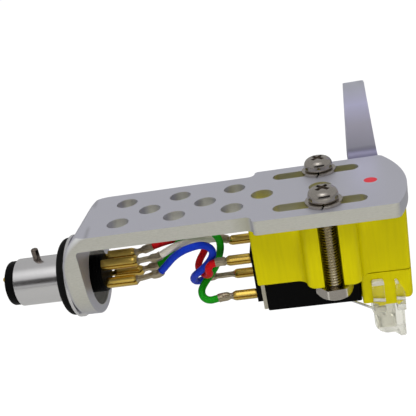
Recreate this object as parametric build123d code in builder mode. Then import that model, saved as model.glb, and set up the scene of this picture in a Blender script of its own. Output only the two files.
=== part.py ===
from build123d import *
import math
import os

os.makedirs("parts", exist_ok=True)

# Driving dimensions in millimetres. X = 0 is the face where the gasket seats on the flange,
# +X points to the stylus, +Y is the finger lift's side and Z = 0 is the plug's axis.

# Fits, the reach of a cut past its piece, and the tolerance for picking edges by place
slip = 0.05
seat_gap = 0.05
overshoot = 1.0
tiny = 1e-6

# Headshell plate
plate_top = 10.1
plate_thick = 2.2
plate_half = 8.1
front_half = 10.0
neck_x = 31.2
front_corner_x = 52.0
nose_bulge = 2.4
nose_round = 1.0
neck_fillet_share = 0.6
neck_round_share = 0.35

# Turned-down wall and its bend
wall_back = 0.5
wall_thick = 3.2
wall_bore_r = 5.25
wall_side_foot_z = 1.7
bend_radius = 8.0
bend_centre_z = 3.5
rear_round = 1.2
inner_fillet = 0.6

# Holes and slots in the plate
hole_r = 1.75
hole_pitch = 9.0
hole_row_y = 3.9
side_holes_x = 10.1
middle_holes_x = 14.6
screw_spacing = 12.7
slot_width = 2.6
slot_length = 13.8
slot_centre_x = 41.2

# Finger lift
lift_x = 46.9
lift_width = 4.9
lift_tip_width = 3.35
lift_top_z = 9.4
lift_fold_y = 12.3
lift_tip_y = 15.6
lift_tip_z = 21.5
lift_base_thick = 1.6
lift_tip_thick = 1.2
lift_sag = 0.35
lift_fillet = 1.8
lift_round = 0.5
lift_root = 1.0

# Bayonet plug
plug_r = 4.0
plug_length = 10.2
plug_bore_r = 3.2
rim_chamfer = 0.35
flange_r = 6.9
spigot_length = 0.9
locking_pin_r = 0.6
locking_pin_x = -6.2
locking_pin_top_z = 5.9
gasket_r = 6.5
gasket_depth = 1.6
gasket_web = 0.5

# Insulator and its four contacts
cap_r = 3.75
cap_length = 1.4
insulator_front_x = 5.0
contact_y = 1.6
contact_z = 1.65
contact_rise = 0.4
contact_r = 0.45
contact_core_r = 0.75
contact_core_back_x = -4.0
contact_core_front_x = -1.0
contact_proud = 0.7
contact_dome = 0.35
contact_front_x = 8.8

# Clips and leads
rear_clip_r = 1.0
front_clip_r = 0.9
clip_tail_r = 0.5
clip_cone = 0.7
clip_seam = 0.2
lead_r = 0.6
lead_arc_share = 0.45

# Cartridge carrier
screw_x = 41.8
mount_back_x = 30.0
mount_front_x = 53.6
mount_half = 5.0
mount_bottom_z = -3.3
ear_half = 7.9
ear_back_x = 39.3
ear_front_x = 44.6
ear_slope = 3.1
channel_r = 1.45
cavity_wall = 0.55
cavity_roof_z = 4.5
mount_edge_round = 0.3
mount_corner_round = 0.8
pocket_wall = 1.0

# Generator housing
housing_back_x = 31.0
housing_front_x = 45.8
housing_bottom_z = -8.3
housing_top_z = 4.3
housing_wall = 0.8
housing_side_wall = 1.3
housing_side_gap = 0.1
nut_play = 0.15

# Rear block, screening plate and pins
block_back_x = 29.6
block_thick = 0.8
block_bottom_z = -6.4
block_top_z = 2.6
shield_bottom_z = -7.9
pin_y = 3.65
pin_r = 0.4
pin_top_z = 1.15
pin_bottom_z = -5.2
pin_back_x = 26.6
pin_hole_r = 0.5

# Magnet circuits
pole_inner_y = 1.2
pole_thick = 0.7
pole_x = 38.8
pole_tip_length = 2.8
pole_neck_length = 1.6
pole_shoulder_z = -4.6
pole_top_z = 2.8
bobbin_half = 1.35
bobbin_flange = 0.4
bobbin_core_wall = 0.25
coil_margin = 0.25
yoke_half = 2.3

# Screws, washers and nuts
screw_r = 1.2
screw_end_z = -5.5
head_r = 2.25
head_height = 1.9
head_round = 1.0
recess_length = 2.6
recess_width = 0.55
recess_depth = 1.1
recess_turn = 45
washer_r = 2.75
washer_bore_r = 1.3
washer_thick = 0.5
nut_flats = 5.0
nut_height = 1.85
nut_chamfer = 0.45
nut_chamfer_width = 0.6
nut_turn = 6.5

# Stylus
stylus_slope = 30.0
pivot_x = 40.9
pivot_z = -8.75
tube_r = 1.0
tube_wall = 0.2
tube_back = 6.0
tube_front = 0.5
tube_hole_front = 5.0
damper_half = 0.4
magnet_r = 0.5
magnet_back = 3.5
magnet_front = 0.6
cantilever_r = 0.2
cantilever_length = 9.85
tip_reach = 9.6
tip_r = 0.14
tip_length = 0.6
damper_bore_r = 0.25

# Stylus holder
holder_back_x = 45.9
holder_seam = 0.05
holder_bottom_z = -8.5
holder_belly_z = -9.0
holder_belly_back_x = 48.3
holder_belly_front_x = 51.3
holder_toe_z = -8.1
holder_toe_x = 52.2
tongue_back_x = 38.0
tongue_front_x = 47.3
tongue_half = 1.6
tongue_top_z = -8.45
tongue_bottom_z = -9.2

# Guard
guard_back_x = 47.5
guard_front_x = 52.3
guard_half = 2.6
guard_wall = 0.5
guard_top_z = -9.1
guard_column_x = 50.9
guard_floor_z = -15.05
guard_bottom_z = -15.9
guard_fin_z = -16.7
guard_fin_length = 0.85
guard_fin_chamfer = 0.25
guard_notch = 0.4
guard_heel_round = 2.0
arm_gap = 0.1
arm_thick = 0.8
arm_ledge = 0.7
arm_overhang = 0.1
rear_arm_width = 1.8
rear_arm_top_z = -4.3
front_arm_x = 50.9
front_arm_peak = 0.3
front_arm_front_x = 52.2
front_arm_top_z = -4.6
front_arm_low_z = -6.6

# Worked out from the sizes above
plate_bottom = plate_top - plate_thick
rear_arm_x = guard_back_x - arm_overhang
wall_front = wall_back + wall_thick
neck_step = front_half - plate_half
foot_z = wall_side_foot_z - plate_half
nose_x = front_corner_x + nose_bulge
spigot_r = wall_bore_r - slip
insulator_r = plug_bore_r - slip
cap_back_x = -plug_length - cap_length
cavity_half = mount_half - cavity_wall
housing_half = cavity_half - housing_side_gap
block_front_x = block_back_x + block_thick
screw_y = screw_spacing / 2
nut_corner_r = nut_flats / 2 / math.cos(math.pi / 6)
lateral_sides = {"far": 1, "near": -1}
slope = math.radians(stylus_slope)
stylus_axis = Vector(math.cos(slope), 0, -math.sin(slope))
pivot = Vector(pivot_x, 0, pivot_z)


def finish(part, name):
    """Label a piece and write it."""
    part.label = name
    export_step(part, f"parts/{name}.step")


def revolve_profile(points, origin=(0, 0, 0), direction=1):
    """Turn a closed outline about a line along X: each point is (distance along, radius)."""
    plane = Plane(origin=origin, x_dir=(direction, 0, 0), z_dir=(0, -direction, 0))
    with BuildSketch(plane) as profile:
        with BuildLine():
            Polyline(*points, close=True)
        make_face()
    revolve(profile.sketch, axis=Axis(origin, (direction, 0, 0)))


def stylus_point(reach):
    """A point on the stylus axis, measured forward from the pivot."""
    return pivot + stylus_axis * reach


def rod_along_stylus(radius, back, front, mode=Mode.ADD):
    """A round rod on the stylus axis between two reaches from the pivot."""
    with BuildSketch(Plane(origin=stylus_point(back), z_dir=stylus_axis)) as section:
        Circle(radius)
    extrude(section.sketch, amount=front - back, mode=mode)


# Finger lift: a strip that leaves the plate's edge, folds up and narrows to its tip
lift_centre_x = lift_x + lift_width / 2
lift_root_y = front_half - lift_root
lift_height = lift_tip_z - lift_top_z
lift_run = lift_tip_y - lift_fold_y
lift_rise = math.atan2(lift_height, lift_run)
tip_outward = Vector(0, math.sin(lift_rise), -math.cos(lift_rise)) * lift_tip_thick
fold_outer_y = lift_fold_y + lift_base_thick / math.sin(lift_rise)
sag_y = lift_sag * math.sin(lift_rise)
sag_z = lift_sag * math.cos(lift_rise)
with BuildPart() as finger_lift:
    with BuildSketch(Plane.YZ.offset(lift_x)) as lift_profile:
        with BuildLine():
            inner_fold = (lift_fold_y, lift_top_z)
            inner_tip = (lift_tip_y, lift_tip_z)
            outer_tip = (lift_tip_y + tip_outward.Y, lift_tip_z + tip_outward.Z)
            outer_fold = (fold_outer_y, plate_bottom)
            Polyline(outer_fold, (lift_root_y, plate_bottom), (lift_root_y, lift_top_z), inner_fold)
            inner_mid = ((lift_fold_y + lift_tip_y) / 2 + sag_y, (lift_top_z + lift_tip_z) / 2 - sag_z)
            ThreePointArc(inner_fold, inner_mid, inner_tip)
            Line(inner_tip, outer_tip)
            outer_mid_y = (outer_tip[0] + outer_fold[0]) / 2 + sag_y
            outer_mid_z = (outer_tip[1] + outer_fold[1]) / 2 - sag_z
            ThreePointArc(outer_tip, (outer_mid_y, outer_mid_z), outer_fold)
        make_face()
        for fold, fold_radius in ((inner_fold, lift_fillet), (outer_fold, lift_fillet + lift_base_thick)):
            fillet(lift_profile.vertices().sort_by_distance((*fold, 0))[0], fold_radius)
    extrude(amount=lift_width)
    with BuildSketch(Plane.XZ):
        with BuildLine():
            Polyline(
                (lift_x, plate_bottom),
                (lift_x + lift_width, plate_bottom),
                (lift_x + lift_width, lift_top_z),
                (lift_centre_x + lift_tip_width / 2, lift_tip_z),
                (lift_centre_x - lift_tip_width / 2, lift_tip_z),
                (lift_x, lift_top_z),
                close=True,
            )
        outline = make_face()
        fillet(outline.vertices().group_by(Axis.Y)[-1], lift_round)
    extrude(amount=-(lift_tip_y + lift_height), mode=Mode.INTERSECT)

# Headshell: plate, bend and turned-down wall in one piece of aluminium, with the finger lift
bend_centre_x = wall_back + bend_radius
bend_top_angle = math.asin((plate_top - bend_centre_z) / bend_radius)
bend_top_x = bend_centre_x - bend_radius * math.cos(bend_top_angle)
bend_mid = (
    bend_centre_x - bend_radius * math.cos(bend_top_angle / 2),
    bend_centre_z + bend_radius * math.sin(bend_top_angle / 2),
)
with BuildPart() as headshell:
    with BuildSketch(Plane.XZ.offset(-plate_half)):
        with BuildLine():
            Line((bend_top_x, plate_top), (neck_x + neck_step, plate_top))
            Line((neck_x + neck_step, plate_top), (neck_x + neck_step, plate_bottom))
            Polyline(
                (neck_x + neck_step, plate_bottom),
                (wall_front, plate_bottom),
                (wall_front, wall_side_foot_z),
                (wall_back, wall_side_foot_z),
                (wall_back, bend_centre_z),
            )
            ThreePointArc((wall_back, bend_centre_z), bend_mid, (bend_top_x, plate_top))
        side_view = make_face()
        fillet(side_view.vertices().sort_by_distance((wall_front, plate_bottom, 0))[0], inner_fillet)
    extrude(amount=2 * plate_half)
    with BuildSketch(Plane.YZ.offset(wall_back)):
        with BuildLine():
            Line((-plate_half, wall_side_foot_z), (plate_half, wall_side_foot_z))
            ThreePointArc((plate_half, wall_side_foot_z), (0, foot_z), (-plate_half, wall_side_foot_z))
        make_face()
    extrude(amount=wall_thick)
    bend_edges = headshell.edges().filter_by(GeomType.CIRCLE)
    fillet([edge for edge in bend_edges if abs(edge.radius - bend_radius) < tiny], rear_round)
    with BuildSketch(Plane.XY.offset(plate_bottom)):
        with BuildLine():
            Polyline(
                (front_corner_x, front_half),
                (neck_x, front_half),
                (neck_x, -front_half),
                (front_corner_x, -front_half),
            )
            ThreePointArc((front_corner_x, -front_half), (nose_x, 0), (front_corner_x, front_half))
        make_face()
    extrude(amount=plate_thick)
    upright = headshell.edges().filter_by(Axis.Z)
    neck_edges = [edge for edge in upright if abs(edge.center().X - neck_x) < tiny]
    inner_edges = [edge for edge in neck_edges if abs(edge.center().Y) < plate_half + tiny]
    fillet(inner_edges, neck_fillet_share * neck_step)
    upright = headshell.edges().filter_by(Axis.Z)
    neck_edges = [edge for edge in upright if abs(edge.center().X - neck_x) < tiny]
    outer_edges = [edge for edge in neck_edges if abs(edge.center().Y) > front_half - tiny]
    fillet(outer_edges, neck_round_share * neck_step)
    upright = headshell.edges().filter_by(Axis.Z)
    fillet([edge for edge in upright if abs(edge.center().X - front_corner_x) < tiny], nose_round)
    add(finger_lift.part)
    with BuildSketch(Plane.XY.offset(plate_bottom)):
        with Locations((side_holes_x + hole_pitch, 0)):
            with GridLocations(hole_pitch, 2 * hole_row_y, 3, 2):
                Circle(hole_r)
        with Locations((middle_holes_x + 1.5 * hole_pitch, 0)):
            with GridLocations(hole_pitch, 0, 4, 1):
                Circle(hole_r)
        with Locations((slot_centre_x, 0)):
            with GridLocations(0, screw_spacing, 1, 2):
                SlotOverall(slot_length, slot_width)
    extrude(amount=plate_thick, mode=Mode.SUBTRACT)
    with BuildSketch(Plane.YZ.offset(wall_back)):
        Circle(wall_bore_r)
    extrude(amount=wall_thick, mode=Mode.SUBTRACT)
finish(headshell.part, "headshell")

# Plug sleeve: bayonet barrel, flange and the spigot pressed into the wall, turned in one piece
with BuildPart() as plug_sleeve:
    revolve_profile([
        (-plug_length, plug_bore_r),
        (-plug_length, plug_r - rim_chamfer),
        (rim_chamfer - plug_length, plug_r),
        (0, plug_r),
        (0, flange_r),
        (wall_back, flange_r),
        (wall_back, spigot_r),
        (wall_back + spigot_length, spigot_r),
        (wall_back + spigot_length, plug_bore_r),
    ])
    with Locations((locking_pin_x, 0, plug_r)):
        Cylinder(locking_pin_r, plug_r, mode=Mode.SUBTRACT)
finish(plug_sleeve.part, "plug_sleeve")

# Locking pin: pressed through the sleeve's wall, with a rounded top
with BuildPart() as locking_pin:
    with BuildSketch(Plane.XY.offset(plug_bore_r)):
        with Locations((locking_pin_x, 0)):
            Circle(locking_pin_r)
    extrude(amount=locking_pin_top_z - plug_bore_r)
    fillet(locking_pin.edges().group_by(Axis.Z)[-1], locking_pin_r / 2)
finish(locking_pin.part, "locking_pin")

# Gasket: a rubber washer with two round ridges, slipped over the barrel
gasket_bore_r = plug_r + slip
gasket_ridge_r = gasket_depth / 2 - slip
with BuildPart() as gasket:
    with BuildSketch(Plane.XZ):
        with BuildLine():
            Polyline(
                (0, gasket_bore_r),
                (0, gasket_r),
                (-gasket_web, gasket_r),
                (-gasket_web, gasket_bore_r),
                close=True,
            )
        make_face()
        for ridge_z in (gasket_bore_r + gasket_ridge_r, gasket_r - gasket_ridge_r):
            with Locations((gasket_ridge_r - gasket_depth, ridge_z)):
                Circle(gasket_ridge_r)
    revolve(axis=Axis.X)
finish(gasket.part, "gasket")


def make_contact(y, z):
    """One contact: a domed rear pin, a thicker moulded-in core and a raised front pin."""
    back_x = cap_back_x - contact_proud
    with BuildPart() as contact:
        core_length = contact_core_front_x - contact_core_back_x
        revolve_profile([(0, 0), (0, contact_r), (contact_core_back_x - back_x, contact_r),
                         (contact_core_back_x - back_x, 0)], (back_x, y, z))
        fillet(contact.edges().group_by(Axis.X)[0], contact_dome)
        revolve_profile([(0, 0), (0, contact_core_r), (core_length, contact_core_r), (core_length, 0)],
                        (contact_core_back_x, y, z + contact_rise / 2))
        front_length = contact_front_x - contact_core_front_x
        revolve_profile([(0, 0), (0, contact_r), (front_length, contact_r), (front_length, 0)],
                        (contact_core_front_x, y, z + contact_rise))
    return contact.part


# Contact pins: four moulded into the insulator, named by side and level
contacts = {}
for side, sign in lateral_sides.items():
    for level, level_sign in (("top", 1), ("bottom", -1)):
        name = f"contact_pin_{side}_{level}"
        contacts[name] = make_contact(sign * contact_y, level_sign * contact_z)
        finish(contacts[name], name)

# Plug insulator: turned body through the sleeve with a wider cap at the tip
with BuildPart() as plug_insulator:
    revolve_profile([
        (cap_back_x, 0),
        (cap_back_x, cap_r - rim_chamfer),
        (cap_back_x + rim_chamfer, cap_r),
        (-plug_length, cap_r),
        (-plug_length, insulator_r),
        (insulator_front_x, insulator_r),
        (insulator_front_x, 0),
    ])
    for contact_body in contacts.values():
        add(contact_body, mode=Mode.SUBTRACT)
finish(plug_insulator.part, "plug_insulator")


# Lead routes: each runs from the end of its rear clip to the end of its front clip
lead_routes = {
    "white": [
        (14.6, -1.6, 2.35), (16.5, -1.1, 3.2), (18.4, -0.1, 3.4), (20.2, 1.0, 3.1),
        (22.0, 2.1, 2.5), (23.4, 3.0, 2.2), (24.5, 3.65, 1.7),
    ],
    "red": [
        (12.75, 1.6, 2.7), (14.3, 1.9, 3.0), (15.9, 2.4, 3.1), (17.8, 2.9, 3.1),
        (19.5, 3.3, 3.0), (20.8, 3.5, 2.8), (21.7, 3.5, 2.0), (21.8, 3.3, 0.9),
        (21.2, 2.9, -0.1), (20.4, 2.3, -1.0), (20.0, 1.5, -1.9), (20.6, 0.4, -2.4),
        (21.7, -1.1, -2.3), (22.5, -2.5, -1.4), (22.5, -3.4, -0.5), (22.7, -3.75, 0.5),
        (23.4, -3.75, 1.1), (24.4, -3.65, 1.15),
    ],
    "green": [
        (13.15, 1.6, -0.7), (14.6, 1.5, -0.3), (16.0, 1.3, 0.9), (17.2, 1.3, 2.4),
        (18.5, 1.5, 3.9), (20.1, 1.5, 4.9), (21.9, 1.3, 5.0), (23.5, 1.0, 4.5),
        (24.5, 0.7, 3.3), (24.6, 0.5, 1.7), (24.0, 0.5, 0.0), (23.2, 0.5, -1.7),
        (21.9, 0.3, -3.2), (20.9, -0.8, -4.0), (20.4, -2.0, -4.5), (20.7, -3.1, -5.2),
        (21.7, -3.6, -5.6), (22.8, -3.7, -5.4), (23.8, -3.65, -5.2),
    ],
    "blue": [
        (14.2, -1.6, -0.6), (15.7, -1.8, 0.8), (17.1, -2.1, 2.2), (18.8, -2.3, 3.2),
        (20.5, -2.4, 3.7), (22.0, -2.4, 3.9), (23.2, -2.4, 3.4), (23.7, -2.4, 2.4),
        (23.2, -2.3, 1.2), (22.1, -2.1, 0.0), (20.9, -1.6, -1.1), (19.6, -0.6, -2.3),
        (18.9, 0.8, -3.8), (19.2, 2.3, -5.1), (20.0, 3.3, -5.4), (21.0, 3.65, -5.2),
    ],
}


def make_clip(mouth, barrel_length, bore_depth, barrel_r, pin_radius, lead_ends, direction):
    """A rolled clip: a split barrel that grips a pin, a cone and a tail crimped on a lead.

    The tail ends at the lead's first point and is cut square to the lead's first run.
    """
    tail_end, lead_next = lead_ends
    with BuildPart() as clip:
        neck = barrel_length + clip_cone
        revolve_profile([
            (0, pin_radius + slip / 2),
            (0, barrel_r),
            (barrel_length, barrel_r),
            (neck, clip_tail_r),
            (neck, 0),
            (bore_depth, 0),
            (bore_depth, pin_radius + slip / 2),
        ], mouth, direction)
        tail_start = Vector(mouth) + Vector(direction * (barrel_length + clip_cone / 3), 0, 0)
        tail = Vector(tail_end) - tail_start
        with BuildSketch(Plane(origin=tail_start, z_dir=tail)):
            Circle(clip_tail_r)
        extrude(amount=tail.length + clip_tail_r)
        lead_direction = Vector(lead_next) - Vector(tail_end)
        split(bisect_by=Plane(origin=tail_end, z_dir=lead_direction), keep=Keep.BOTTOM)
        seam_x = mouth[0] + direction * bore_depth / 2
        with Locations((seam_x, mouth[1] - barrel_r, mouth[2])):
            Box(bore_depth, 2 * (barrel_r - pin_radius / 2), clip_seam, mode=Mode.SUBTRACT)
    return clip.part


# Rear clips: one on each contact; each row holds the mouth and the barrel's length
rear_clips = {
    "white": ((5.05, -contact_y, contact_z + contact_rise), 5.65),
    "red": ((5.5, contact_y, contact_z + contact_rise), 4.4),
    "green": ((5.9, contact_y, contact_rise - contact_z), 4.4),
    "blue": ((5.2, -contact_y, contact_rise - contact_z), 4.75),
}
for colour, (mouth, barrel_length) in rear_clips.items():
    grip = contact_front_x - mouth[0] + seat_gap
    lead_ends = lead_routes[colour][:2]
    clip_part = make_clip(mouth, barrel_length, grip, rear_clip_r, contact_r, lead_ends, 1)
    finish(clip_part, f"rear_clip_{colour}")

# Front clips: one on each cartridge pin, facing the other way
clip_mouth_x = block_back_x - seat_gap
front_clips = {
    "white": ((clip_mouth_x, pin_y, pin_top_z), 3.4),
    "red": ((clip_mouth_x, -pin_y, pin_top_z), 3.4),
    "blue": ((clip_mouth_x, pin_y, pin_bottom_z), 3.6),
    "green": ((clip_mouth_x, -pin_y, pin_bottom_z), 3.4),
}
for colour, (mouth, barrel_length) in front_clips.items():
    grip = mouth[0] - pin_back_x + seat_gap
    lead_ends = lead_routes[colour][:-3:-1]
    clip_part = make_clip(mouth, barrel_length, grip, front_clip_r, pin_r, lead_ends, -1)
    finish(clip_part, f"front_clip_{colour}")


def bend_radii(points):
    """The arc at each inner point of a route, as large as its two runs allow."""
    radii = []
    for before, here, after in zip(points, points[1:], points[2:]):
        run_in = Vector(*here) - Vector(*before)
        run_out = Vector(*after) - Vector(*here)
        half_turn = math.radians(run_in.get_angle(run_out)) / 2
        radii.append(lead_arc_share * min(run_in.length, run_out.length) / math.tan(half_turn))
    return radii


def make_lead(points):
    """A round lead along a route of straight runs and tangent arcs."""
    radii = bend_radii(points)
    with BuildPart() as lead:
        with BuildLine():
            route = FilletPolyline(*points, radius=radii)
        with BuildSketch(Plane(origin=route @ 0, z_dir=route % 0)):
            Circle(lead_r)
        sweep()
    print("length", round(route.length, 1), "radii", [round(radius, 1) for radius in radii])
    print("volume share", round(lead.part.volume / (math.pi * lead_r ** 2 * route.length), 4))
    return lead.part


# Leads: insulated wires between the clips
for colour, route_points in lead_routes.items():
    print("lead", colour)
    finish(make_lead(route_points), f"lead_{colour}")

# Mount body: yellow moulding with two ears for the screws and a bay for the generator
mount_top_z = plate_bottom - seat_gap
with BuildPart() as mount_body:
    with BuildSketch(Plane.XY.offset(mount_bottom_z)):
        with BuildLine():
            waist_back = (ear_back_x - ear_slope, mount_half)
            ear_back = (ear_back_x, ear_half)
            ear_front = (ear_front_x, ear_half)
            waist_front = (ear_front_x + ear_slope, mount_half)
            back_middle = ((waist_back[0] + ear_back[0]) / 2, (mount_half + ear_half) / 2)
            front_middle = ((waist_front[0] + ear_front[0]) / 2, (mount_half + ear_half) / 2)
            Polyline((mount_back_x, 0), (mount_back_x, mount_half), waist_back)
            TangentArc(waist_back, back_middle, tangent=(1, 0))
            TangentArc(ear_back, back_middle, tangent=(-1, 0))
            Line(ear_back, ear_front)
            TangentArc(ear_front, front_middle, tangent=(1, 0))
            TangentArc(waist_front, front_middle, tangent=(-1, 0))
            Polyline(waist_front, (mount_front_x, mount_half), (mount_front_x, 0))
            mirror(about=Plane.XZ)
        make_face()
    extrude(amount=mount_top_z - mount_bottom_z)
    upright = mount_body.edges().filter_by(Axis.Z)
    fillet(upright.group_by(Axis.X)[-1], mount_corner_round)
    fillet(upright.group_by(Axis.X)[0], mount_edge_round)
    fillet(mount_body.faces().sort_by(Axis.Z)[0].outer_wire().edges(), mount_edge_round)
    bay_length = housing_front_x + housing_side_gap - mount_back_x
    bay_height = cavity_roof_z - mount_bottom_z
    with Locations((mount_back_x + bay_length / 2, 0, mount_bottom_z + bay_height / 2)):
        Box(bay_length, 2 * cavity_half, bay_height, mode=Mode.SUBTRACT)
    with BuildSketch(Plane.XY.offset(mount_bottom_z)):
        for sign in (-1, 1):
            with Locations((screw_x, sign * screw_y)):
                Circle(channel_r)
            with Locations((screw_x, sign * (screw_y + ear_half) / 2)):
                Rectangle(2 * channel_r, ear_half - screw_y)
    extrude(amount=mount_top_z - mount_bottom_z, mode=Mode.SUBTRACT)
    pocket_back_x = housing_front_x + housing_side_gap + pocket_wall
    pocket_length = mount_front_x - pocket_wall - pocket_back_x
    pocket_half = (2 * mount_half - 3 * pocket_wall) / 4
    with BuildSketch(Plane.XY.offset(mount_bottom_z)):
        with Locations((pocket_back_x + pocket_length / 2, 0)):
            with GridLocations(0, 2 * pocket_half + pocket_wall, 1, 2):
                Rectangle(pocket_length, 2 * pocket_half)
    extrude(amount=mount_top_z - mount_bottom_z - pocket_wall, mode=Mode.SUBTRACT)
finish(mount_body.part, "mount_body")

# Generator housing: black box open at the top, with a recess for each nut and a hole for the
# stylus tube
housing_length = housing_front_x - housing_back_x
housing_centre_x = (housing_back_x + housing_front_x) / 2
with BuildPart() as generator_body:
    with BuildSketch(Plane.XY.offset(housing_bottom_z)):
        with Locations((housing_centre_x, 0)):
            Rectangle(housing_length, 2 * housing_half)
    extrude(amount=housing_top_z - housing_bottom_z)
    fillet(generator_body.edges().filter_by(Axis.Z), mount_edge_round)
    fillet(generator_body.faces().sort_by(Axis.Z)[0].outer_wire().edges(), mount_edge_round / 2)
    with BuildSketch(Plane.XY.offset(housing_bottom_z + housing_wall)):
        with Locations((housing_centre_x, 0)):
            Rectangle(housing_length - 2 * housing_wall, 2 * (housing_half - housing_side_wall))
    extrude(amount=housing_top_z - housing_bottom_z, mode=Mode.SUBTRACT)
    with BuildSketch(Plane.XY.offset(mount_bottom_z)):
        with Locations((screw_x, 0)):
            with GridLocations(0, screw_spacing, 1, 2):
                Circle(nut_corner_r + nut_play)
    extrude(amount=-nut_height - nut_play, mode=Mode.SUBTRACT)
    rod_along_stylus(tube_r + slip, -tube_back, tube_back, mode=Mode.SUBTRACT)
finish(generator_body.part, "generator_body")

# Rear block: insulates the four pins; it stands against the screening plate
pin_places = [
    (sign * pin_y, height)
    for sign in lateral_sides.values()
    for height in (pin_top_z, pin_bottom_z)
]
with BuildPart() as terminal_block:
    with BuildSketch(Plane.YZ.offset(block_back_x)):
        with Locations((0, (block_top_z + block_bottom_z) / 2)):
            Rectangle(2 * housing_half, block_top_z - block_bottom_z)
        with Locations(*pin_places):
            Circle(pin_r, mode=Mode.SUBTRACT)
    extrude(amount=block_thick)
finish(terminal_block.part, "terminal_block")

# Screening plate: thin metal, pierced clear of the pins
with BuildPart() as shield_plate:
    with BuildSketch(Plane.YZ.offset(block_front_x)):
        with Locations((0, (housing_top_z + shield_bottom_z) / 2)):
            Rectangle(2 * housing_half, housing_top_z - shield_bottom_z)
        with Locations(*pin_places):
            Circle(pin_hole_r, mode=Mode.SUBTRACT)
    extrude(amount=housing_back_x - block_front_x)
finish(shield_plate.part, "shield_plate")

# Cartridge pins: four straight rods through the block, ending at the screening plate
for side, sign in lateral_sides.items():
    for level, height in (("top", pin_top_z), ("bottom", pin_bottom_z)):
        with BuildPart() as cartridge_pin:
            with BuildSketch(Plane.YZ.offset(pin_back_x)):
                with Locations((sign * pin_y, height)):
                    Circle(pin_r)
            extrude(amount=housing_back_x - seat_gap - pin_back_x)
            fillet(cartridge_pin.edges().group_by(Axis.X)[0], pin_r / 2)
        finish(cartridge_pin.part, f"cartridge_pin_{side}_{level}")

# Magnet circuits: on each side a pole piece stands on the housing's floor beside the tube
floor_z = housing_bottom_z + housing_wall
pole_y = pole_inner_y + pole_thick / 2
bobbin_bottom_z = pole_shoulder_z
bobbin_top_z = pole_top_z - seat_gap
bobbin_core_x = pole_neck_length / 2 + bobbin_core_wall
bobbin_core_y = pole_thick / 2 + bobbin_core_wall
for side, sign in lateral_sides.items():
    with BuildPart() as pole_piece:
        with BuildSketch(Plane.XY.offset(floor_z)):
            with Locations((pole_x, sign * pole_y)):
                Rectangle(pole_tip_length, pole_thick)
        extrude(amount=pole_shoulder_z - floor_z)
        with BuildSketch(Plane.XY.offset(pole_shoulder_z)):
            with Locations((pole_x, sign * pole_y)):
                Rectangle(pole_neck_length, pole_thick)
        extrude(amount=pole_top_z - pole_shoulder_z)
    finish(pole_piece.part, f"pole_piece_{side}")

    with BuildPart() as bobbin:
        with BuildSketch(Plane.XY.offset(bobbin_bottom_z)):
            with Locations((pole_x, sign * pole_y)):
                Rectangle(2 * bobbin_core_x, 2 * bobbin_core_y)
        extrude(amount=bobbin_top_z - bobbin_bottom_z)
        for flange_z in (bobbin_bottom_z, bobbin_top_z - bobbin_flange):
            with BuildSketch(Plane.XY.offset(flange_z)):
                with Locations((pole_x, sign * pole_y)):
                    Rectangle(2 * (bobbin_half + bobbin_core_wall), 2 * bobbin_half)
            extrude(amount=bobbin_flange)
        with BuildSketch(Plane.XY.offset(bobbin_bottom_z)):
            with Locations((pole_x, sign * pole_y)):
                Rectangle(pole_neck_length + slip, pole_thick + slip)
        extrude(amount=bobbin_top_z - bobbin_bottom_z, mode=Mode.SUBTRACT)
    finish(bobbin.part, f"bobbin_{side}")

    with BuildPart() as coil:
        with BuildSketch(Plane.XY.offset(bobbin_bottom_z + bobbin_flange)):
            with Locations((pole_x, sign * pole_y)):
                RectangleRounded(
                    2 * (bobbin_half + bobbin_core_wall - coil_margin),
                    2 * (bobbin_half - coil_margin),
                    coil_margin,
                )
                Rectangle(2 * bobbin_core_x, 2 * bobbin_core_y, mode=Mode.SUBTRACT)
        extrude(amount=bobbin_top_z - bobbin_bottom_z - 2 * bobbin_flange)
    finish(coil.part, f"coil_{side}")

# Yoke: a soft iron bar across the tops of both pole pieces, just under the bay's roof
with BuildPart() as yoke:
    with BuildSketch(Plane.XY.offset(pole_top_z)):
        with Locations((pole_x, 0)):
            Rectangle(pole_tip_length, 2 * yoke_half)
    extrude(amount=housing_top_z - pole_top_z)
finish(yoke.part, "yoke")

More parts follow.
